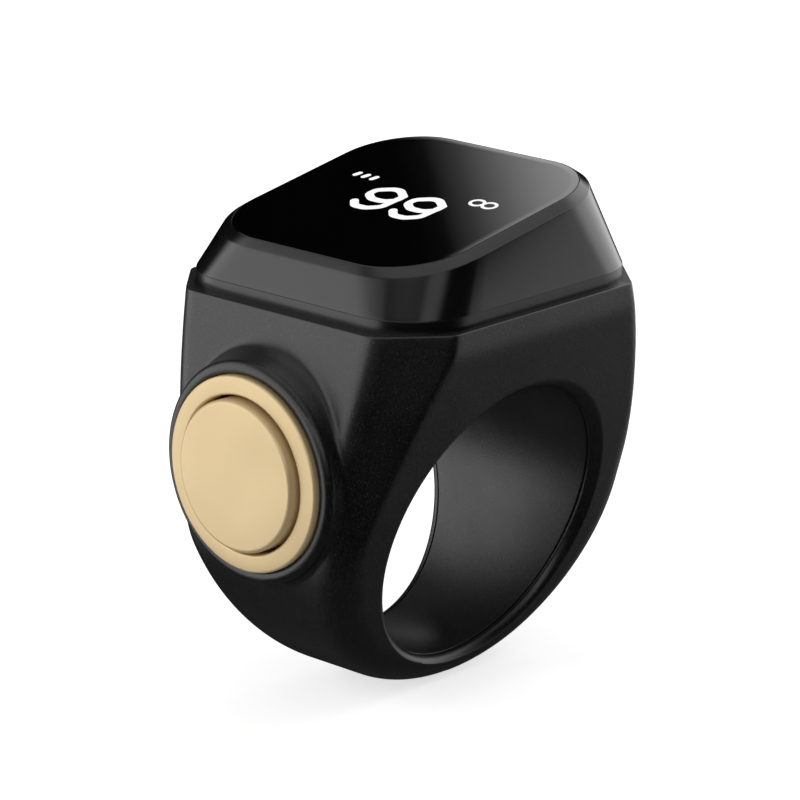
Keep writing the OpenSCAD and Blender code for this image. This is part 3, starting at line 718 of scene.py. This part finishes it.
class TALLYRING_OT_liner(bpy.types.Operator):
    """Makes the sleeve that lines the bore, with its two contact holes"""
    bl_idname = "tally_ring.liner"
    bl_label = "Finger liner"

    # Millimetres: radii of the sleeve, how far its ends lie behind the rims, and their rounding
    INNER, OUTER, INSET, EDGE = 10.0, 10.55, 0.88, 0.08
    # Holes for the charging contacts: radius, places along X, and the heights that they span
    HOLE_R, HOLES_AT, HOLE_ENDS = 0.92, (-2, 2), (9.0, 11.5)
    # Points round the sleeve and round a hole, and the fewest faces that a whole sleeve has
    TURNS, HOLE_TURNS, FEWEST_FACES = 360, 48, 1000

    def execute(self, context):
        s = body_sizes(context.scene)
        turn = once_round(self.TURNS)
        profile = [(self.OUTER, self.INSET),
                   *arc(self.INNER + self.EDGE, self.INSET + self.EDGE, self.EDGE, -90, -180, steps=4)]
        front, back = ([bore_ring(s, turn, r, depth, end) for r, depth in profile] for end in (-1, 1))
        points, faces = net(front + back[::-1])
        sleeve = piece("liner_sleeve", points, faces, finishes(context.scene)["liner_plastic"])
        n = self.HOLE_TURNS
        a = once_round(n)
        for x in self.HOLES_AT:
            circle = np.stack([x + self.HOLE_R * np.cos(a), self.HOLE_R * np.sin(a)], -1)
            points, faces = net([at_height(circle, z) for z in self.HOLE_ENDS], closed_rows=False)
            faces += [tuple(range(n))[::-1], tuple(range(n, 2 * n))]
            tool = put("hole", new_mesh("hole", points, faces))
            cut = sleeve.modifiers.new("hole", "BOOLEAN")
            cut.operation, cut.solver, cut.object = "DIFFERENCE", "EXACT", tool
            context.view_layer.update()
            depsgraph = context.evaluated_depsgraph_get()
            done = bpy.data.meshes.new_from_object(sleeve.evaluated_get(depsgraph))
            sleeve.modifiers.clear()
            sleeve.data = done
            bpy.data.objects.remove(tool)
        if len(sleeve.data.polygons) < self.FEWEST_FACES:
            raise RuntimeError("the liner lost its wall when its contact holes were cut")
        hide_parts("finger_liner")
        return {"FINISHED"}


class TALLYRING_OT_head(bpy.types.Operator):
    """Makes the neck band, the slanted cover with its bevelled rim, and the display lens"""
    bl_idname = "tally_ring.head"
    bl_label = "Head"

    # Millimetres. Neck band: its top ledge, and the lip under it, which stands in the body's cavity
    LEDGE, LIP_GAP, LIP_WALL, LIP_DROP = 0.9, 0.05, 0.6, 0.82
    # Cover: the seam under it, its wall at the seam, rows of its slanted sides, and the foot of its
    # bevel: how far out along X and Y from the display's edge, how much rounder, and how far down
    SEAM, WALL, SIDE_ROWS, BEVEL = 0.01, 1.0, 7, (0.51, 0.83, 0.67, 0.47)
    # Recess for the lens, the shelf that carries it and the hollow behind: depths below the glass,
    # and how far in from the display's edge
    RECESS, SHELF_BACK, HOLLOW_BACK, SHELF, HOLLOW = 1.05, 1.85, 1.9, 1.25, 0.4
    # Rounding of the cover's rim and of its mouth round the lens, and of every fine edge
    RIM_SOFT, MOUTH_SOFT, FINE = 0.08, 0.04, 0.05
    # Lens: gap round it, thickness, and how far in the inner ring of its face lies
    LENS_GAP, LENS_T, LENS_RING = 0.04, 0.9, 0.6

    def execute(self, context):
        head = context.scene.tally_ring_head
        mats = finishes(context.scene)
        x, y, r, neck_top, sx, sy, sr, sz, shift = millimetres(
            head, "neck_x", "neck_y", "neck_r", "neck_top", "screen_x", "screen_y", "screen_r",
            "screen_z", "shift")
        top = context.scene.tally_ring_body.top / MM
        slope = math.tan(head.tilt)
        fine = self.FINE

        def level(wider, z):
            return at_height(rounded_outline(x + wider, y + wider, r + wider), z)

        def lip(wider, z):
            return at_height(rounded_outline(*(size - self.LIP_GAP + wider for size in CAVITY)), z)

        def tilted(dx, dy, dr, drop):
            p = rounded_outline(sx + dx, sy + dy, sr + dr)
            return np.column_stack([p[:, 0] - shift, p[:, 1], sz - drop + slope * p[:, 0]])

        # Neck band: a plain upright wall with a fine edge at the seam
        foot = top - self.LIP_DROP
        rings = [level(0, top), level(0, neck_top), level(-self.LEDGE, neck_top),
                 lip(-self.LIP_WALL, neck_top), lip(-self.LIP_WALL, foot), lip(0, foot), lip(0, top)]
        points, faces = net(rounded_corners(rings, [0, fine, 0, 0, 0, 0, 0]))
        band = piece("neck_band", points, faces, mats["neck_plastic"])
        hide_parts("neck_frame")

        # Cover: slanted sides up to a bevelled rim, and the recess and shelf for the lens
        seam, shelf = neck_top + self.SEAM, (-self.SHELF,) * 3
        base, rim, lens = level(0, seam), tilted(*self.BEVEL), tilted(0, 0, 0, 0)
        sides = [base + (rim - base) * t for t in np.linspace(0, 1, self.SIDE_ROWS + 2)[1:-1]]
        rings = [level(-fine, seam), base, *sides, rim, lens, tilted(0, 0, 0, self.RECESS),
                 tilted(*shelf, self.RECESS), tilted(*shelf, self.SHELF_BACK),
                 tilted(-self.HOLLOW, -self.HOLLOW, 0, self.HOLLOW_BACK),
                 level(-self.WALL, neck_top + fine), level(-self.WALL, seam)]
        reaches = [0, fine] + [0] * len(sides) + [self.RIM_SOFT, self.MOUTH_SOFT] + [0] * 6
        points, faces = net(rounded_corners(rings, reaches, steps=5))
        cover = piece("slanted_cover", points, faces, mats["cover_plastic"], sharp=60)
        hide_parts("head_cover")

        # Lens: flush with the rim, in its recess
        edge, ring = (-self.LENS_GAP,) * 3, (-self.LENS_GAP - self.LENS_RING,) * 3
        rings = rounded_corners([tilted(*edge, self.LENS_T), tilted(*edge, 0), tilted(*ring, 0)],
                                [0, fine, 0])
        points, faces = net(rings, closed_rows=False)
        n, m = len(points), len(rings[0])
        faces += [tuple(range(m)), tuple(range(n - m, n))]
        pane = piece("lens_pane", points, faces, mats["lens_glass"])
        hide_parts("display_lens")
        return {"FINISHED"}


class TALLYRING_OT_figures(bpy.types.Operator):
    """Makes the lit figures of the display: the count, a three-bar gauge and two linked rings"""
    bl_idname = "tally_ring.figures"
    bl_label = "Display figures"

    # Centre lines of a nine, in millimetres right and up from the middle of its bowl
    BOWL = [(-0.24, 0.98), (0.4, 0.98), (1.31, 0.29), (1.31, -0.46), (0.55, -0.97), (-0.5, -0.97),
            (-1.32, -0.38), (-1.27, 0.37)]
    TAIL = [(1.31, 0.29), (1.13, -1.75), (0.24, -2.36), (-0.78, -2.36), (-1.39, -1.72)]
    # Where the figures are, right and up from the display's middle, and their sizes
    NINES_AT, NINE_WIDTH, NINE_ROUND = ((-1.74, -0.44), (1.98, -0.56)), 0.6, 0.3
    BARS_AT, BAR_WIDTH = ((-6.35, 1.52), (-5.52, 1.48), (-4.69, 1.44)), 0.42
    BAR = ((-0.05, -0.17), (0.05, 0.17))
    RINGS_AT, RING_RADII, RING_WIDTH = ((5.03, 1.28), (6.14, 1.26)), (0.53, 0.45), 0.23
    RING_POINTS = 64
    # Height over the glass, the step that keeps crossing strokes apart, and thickness
    LIFT, STEP, THICK = 0.012, 0.001, 0.01

    def execute(self, context):
        head = context.scene.tally_ring_head
        sz, shift = millimetres(head, "screen_z", "shift")
        slope = math.tan(head.tilt)
        mat = lit_figures(context.scene.tally_ring_colours.figures)

        def lay(name, strokes):
            points, faces = [], []
            for k, (p, f) in enumerate(strokes):
                start = len(points)
                for u, v in p:
                    points.append((v, -u, sz + slope * (v + shift) + self.LIFT + self.STEP * (k % 2)))
                faces += [tuple(i + start for i in q) for q in f]
            obj = piece(name, points, faces, mat)
            thick = obj.modifiers.new("thickness", "SOLIDIFY")
            thick.thickness = self.THICK * MM
            thick.offset = -1

        nines = []
        for at in self.NINES_AT:
            for path, closed in ((self.BOWL, True), (self.TAIL, False)):
                line = eased(np.array(path) + at, self.NINE_ROUND, closed)
                nines.append(stroke(line, self.NINE_WIDTH, closed))
        lay("count_figures", nines)
        lay("gauge_bars", [stroke(np.add(self.BAR, at), self.BAR_WIDTH) for at in self.BARS_AT])
        turn = once_round(self.RING_POINTS)
        ring = np.stack([np.cos(turn), np.sin(turn)], -1) * self.RING_RADII
        lay("linked_rings", [stroke(ring + at, self.RING_WIDTH, True) for at in self.RINGS_AT])
        return {"FINISHED"}


class TALLYRING_OT_button(bpy.types.Operator):
    """Makes the gold bezel ring and the gold cap that travels in it"""
    bl_idname = "tally_ring.button"
    bl_label = "Button"

    # Millimetres. Bezel: rounding of its edges, how far its face falls towards the outer edge, and
    # the gap behind it. The outer round starts at 86 degrees, because the face falls
    EDGE, FALL, BACK_GAP, ROUND_START = 0.18, 0.1, 0.02, 86
    # Cap: rounding of its edge, thickness of its face and its skirt
    CAP_EDGE, FACE_T, SKIRT = 0.3, 0.42, 0.5

    def execute(self, context):
        button = context.scene.tally_ring_button
        mats = finishes(context.scene)
        z, b_out, b_in, b_back, b_front, cap_r, cap_front, cap_back = millimetres(
            button, "button_z", "bezel_out", "bezel_in", "bezel_back", "bezel_front",
            "cap_r", "cap_front", "cap_back")
        edge, back = self.EDGE, b_back + self.BACK_GAP
        profile = [[b_in, back], *arc(b_in + edge, b_front - edge, edge, 180, 90),
                   *arc(b_out - edge, b_front - self.FALL - edge, edge, self.ROUND_START, 0), [b_out, back]]
        points, faces = lathe(profile, z)
        bezel = piece("gold_bezel", points, faces, mats["bezel_gold"])
        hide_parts("button_bezel")
        edge, inside, under = self.CAP_EDGE, cap_r - self.SKIRT, cap_front - self.FACE_T
        profile = [[0, cap_front], [cap_r / 2, cap_front],
                   *arc(cap_r - edge, cap_front - edge, edge, 90, 0),
                   [cap_r, cap_back], [inside, cap_back], [inside, under], [0, under]]
        points, faces = lathe(profile, z)
        cap = piece("gold_cap", points, faces, mats["cap_gold"], body="button")
        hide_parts("button_cap")
        return {"FINISHED"}


class TALLYRING_OT_works(bpy.types.Operator):
    """Gives the parts inside the case, which keep their CAD shapes, their own finishes"""
    bl_idname = "tally_ring.works"
    bl_label = "Works inside"

    def execute(self, context):
        mats = finishes(context.scene)
        for part in frame["record"]["subparts"]:
            node = frame["nodes"][part["node"]]
            if not node.data.materials:
                node.data.materials.append(None)
            for k in range(len(node.data.materials)):
                node.data.materials[k] = mats[part["material_slot"]]
        return {"FINISHED"}


class TALLYRING_OT_stage(bpy.types.Operator):
    """Makes the studio: white floor and surround, soft lights and the camera"""
    bl_idname = "tally_ring.stage"
    bl_label = "Stage"

    # Camera: the point that it looks at, its direction from there in radians, and its distance,
    # lens, sensor and nearest view in millimetres
    LOOK_AT = (-0.961, 0.0, 7.436)
    AZIMUTH, ELEVATION, DISTANCE, LENS, SENSOR, NEAREST = -0.8165, 0.2982, 279.64, 183.17, 36, 5
    # Floor: half its side in metres, its drift of colour in millimetres, and what the camera sees
    # of it beside the light that falls on it
    FLOOR_HALF, FLOOR_CLOUD, FLOOR_WHITE = 0.6, 100 / 3, 0.66
    # Light of the white surround on matt surfaces
    FILL = 0.34
    # Tent: its radius in metres, its points round and up, and its brightness by elevation
    TENT_R, ACROSS, UP = 0.3, 360, 181
    GLOW = ((-45, -32, 44, 53, 61, 67), (0.055, 0, 0, 0.28, 0.65, 0.78))
    # Lit panels of the tent: edges in azimuth and how soft they are, edges in elevation and how
    # soft they are, all in degrees, and how bright the panel is
    PANELS = (((102, 175), (15, 13), (-26, 40), (12, 50), 1.95),
              ((-42, 17), (28, 12), (-10, 56), (15, 26), 1.9),
              ((-14, 45.3), (8, 6), (24, 56), (8, 15), 1.75),
              ((-126, -98), (15, 12), (34, 60), (10, 10), 0.75),
              ((165, 246), (8, 10), (15, 36), (8, 5), 1.8),
              ((-48.3, -30), (1.8, 10), (-9, 16), (7, 7), 0.86),
              ((-60, 17), (15, 15), (-25, 0), (4, 15), 0.7),
              ((-60, 17), (15, 15), (-36, 0), (10, 15), 0.22))
    # Softboxes: where each stands, in millimetres, and its power in watts. Both look at one point
    SOFTBOXES = (("softbox_left", (-293, 264, 120), 0.85), ("softbox_right", (330, -60, 190), 0.55))
    SOFTBOX_AIM, SOFTBOX_SIDE = (0, 0, 5), 330

    def execute(self, context):
        scene = context.scene
        self.camera(scene)
        self.floor(scene)
        self.world(scene)
        self.tent()
        self.lights()
        scene.view_settings.view_transform = "Standard"
        return {"FINISHED"}

    def camera(self, scene):
        a, e = self.AZIMUTH, self.ELEVATION
        back = Vector((math.sin(a) * math.cos(e), -math.cos(a) * math.cos(e), math.sin(e)))
        data = bpy.data.cameras.new("camera")
        data.lens, data.sensor_width, data.clip_start = self.LENS, self.SENSOR, self.NEAREST * MM
        cam = put("camera", data)
        cam.location = (Vector(self.LOOK_AT) + back * self.DISTANCE) * MM
        cam.rotation_euler = back.to_track_quat("Z", "Y").to_euler()
        scene.camera = cam

    def seen_white(self, tree, lit, white):
        """A strength that is white for what camera, gloss and glass see, and lit for the rest."""
        rays = add(tree, "ShaderNodeLightPath").outputs
        seen = rays["Is Camera Ray"]
        for kind in ("Is Glossy Ray", "Is Transmission Ray"):
            seen = add(tree, "ShaderNodeMath", {0: seen, 1: rays[kind]}, operation="MAXIMUM").outputs[0]
        ends = {"Value": seen, "To Min": lit, "To Max": white}
        return add(tree, "ShaderNodeMapRange", ends).outputs["Result"]

    def floor(self, scene):
        mat, tree = blank_material("studio_floor_painted")
        place = add(tree, "ShaderNodeTexCoord").outputs["Object"]
        drift = add(tree, "ShaderNodeTexNoise", {"Vector": place, "Scale": 1 / (self.FLOOR_CLOUD * MM)})
        colour = tuple(scene.tally_ring_colours.floor)
        paint = add(tree, "ShaderNodeMix", {
            "Factor": drift.outputs["Fac"], "A": toned(colour, FLOOR_DIM) + (1,), "B": colour + (1,)},
            data_type="RGBA")
        diffuse = add(tree, "ShaderNodeBsdfDiffuse", {"Color": paint.outputs["Result"]})
        white = self.seen_white(tree, 0.0, self.FLOOR_WHITE)
        lift = add(tree, "ShaderNodeEmission", {"Strength": white})
        both = add(tree, "ShaderNodeAddShader", {0: diffuse.outputs[0], 1: lift.outputs[0]})
        add(tree, "ShaderNodeOutputMaterial", {"Surface": both.outputs[0]})
        half, z = self.FLOOR_HALF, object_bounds()[0][2]
        mesh = new_mesh("studio_floor", [(-half, -half, z), (half, -half, z), (half, half, z),
                                         (-half, half, z)], [(0, 1, 2, 3)], scale=1)
        mesh.materials.append(mat)
        obj = put("studio_floor", mesh)
        obj.visible_glossy = False
        obj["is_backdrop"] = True

    def world(self, scene):
        world = bpy.data.worlds.new("studio")
        world.use_nodes = True
        tree = world.node_tree
        tree.nodes.clear()
        strength = self.seen_white(tree, self.FILL, 1.0)
        light = add(tree, "ShaderNodeBackground", {"Color": (1, 1, 1, 1), "Strength": strength})
        add(tree, "ShaderNodeOutputWorld", {"Surface": light.outputs[0]})
        scene.world = world

    def tent(self):
        """Black cloth with lit panels, which only gloss sees, for the photo's reflections."""
        a, e = np.meshgrid(np.degrees(once_round(self.ACROSS)), np.linspace(-90, 90, self.UP))
        glow = np.interp(e, *self.GLOW)
        for sides, soft_sides, ends, soft_ends, power in self.PANELS:
            mid, half = sum(sides) / 2, (sides[1] - sides[0]) / 2
            off = (a - mid + 180) % 360 - 180
            panel = np.full(a.shape, power)
            for reach, soft in ((half + off, soft_sides[0]), (half - off, soft_sides[1]),
                                (e - ends[0], soft_ends[0]), (ends[1] - e, soft_ends[1])):
                step = np.clip(reach / soft + 0.5, 0, 1)
                panel *= step * step * (3 - 2 * step)
            glow = np.maximum(glow, panel)
        ra, re = np.radians(a), np.radians(e)
        points = np.stack([np.cos(re) * np.cos(ra), np.cos(re) * np.sin(ra), np.sin(re)], -1)
        mesh = new_mesh("studio_tent", *net(points, closed_rows=False), scale=self.TENT_R)
        mesh.attributes.new("glow", "FLOAT", "POINT").data.foreach_set("value", glow.ravel())
        mat, tree = blank_material("black_cloth_and_diffusers")
        level = add(tree, "ShaderNodeAttribute", attribute_name="glow")
        light = add(tree, "ShaderNodeEmission", {"Strength": level.outputs["Fac"]})
        add(tree, "ShaderNodeOutputMaterial", {"Surface": light.outputs[0]})
        mat.cycles.emission_sampling = "NONE"
        mesh.materials.append(mat)
        obj = put("studio_tent", mesh)
        for kind in ("camera", "diffuse", "transmission", "volume_scatter", "shadow"):
            setattr(obj, "visible_" + kind, False)
        obj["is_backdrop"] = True

    def lights(self):
        aim = Vector(self.SOFTBOX_AIM)
        for name, place, power in self.SOFTBOXES:
            data = bpy.data.lights.new(name, "AREA")
            data.size = self.SOFTBOX_SIDE * MM
            data.energy = power
            lamp = put(name, data)
            lamp.location = Vector(place) * MM
            lamp.rotation_euler = (Vector(place) - aim).to_track_quat("Z", "Y").to_euler()
            lamp.visible_glossy = False


class TALLYRING_PT_panel(bpy.types.Panel):
    """Lists the tally ring's pieces and settings"""
    bl_idname = "TALLYRING_PT_panel"
    bl_label = "Tally Ring"
    bl_space_type = "VIEW_3D"
    bl_region_type = "UI"
    bl_category = "Tally Ring"

    def draw(self, context):
        for operator in OPERATORS:
            self.layout.operator(operator.bl_idname)
        for key in SETTINGS:
            group = getattr(context.scene, key)
            box = self.layout.box()
            for name in type(group).__annotations__:
                box.prop(group, name)


OPERATORS = (TALLYRING_OT_body, TALLYRING_OT_liner, TALLYRING_OT_head, TALLYRING_OT_figures,
             TALLYRING_OT_button, TALLYRING_OT_works, TALLYRING_OT_stage)
SETTINGS = {"tally_ring_body": TallyRingBody, "tally_ring_head": TallyRingHead,
            "tally_ring_button": TallyRingButton, "tally_ring_colours": TallyRingColours}
CLASSES = (*SETTINGS.values(), *OPERATORS, TALLYRING_PT_panel)


def register():
    for cls in CLASSES:
        bpy.utils.register_class(cls)
    for key, group in SETTINGS.items():
        setattr(bpy.types.Scene, key, bpy.props.PointerProperty(type=group))


def unregister():
    for key in SETTINGS:
        delattr(bpy.types.Scene, key)
    for cls in reversed(CLASSES):
        bpy.utils.unregister_class(cls)


def main():
    register()
    bpy.ops.tally_ring.body()
    bpy.ops.tally_ring.liner()
    bpy.ops.tally_ring.head()
    bpy.ops.tally_ring.figures()
    bpy.ops.tally_ring.button()
    bpy.ops.tally_ring.works()
    bpy.ops.tally_ring.stage()


if __name__ == "__main__":
    main()
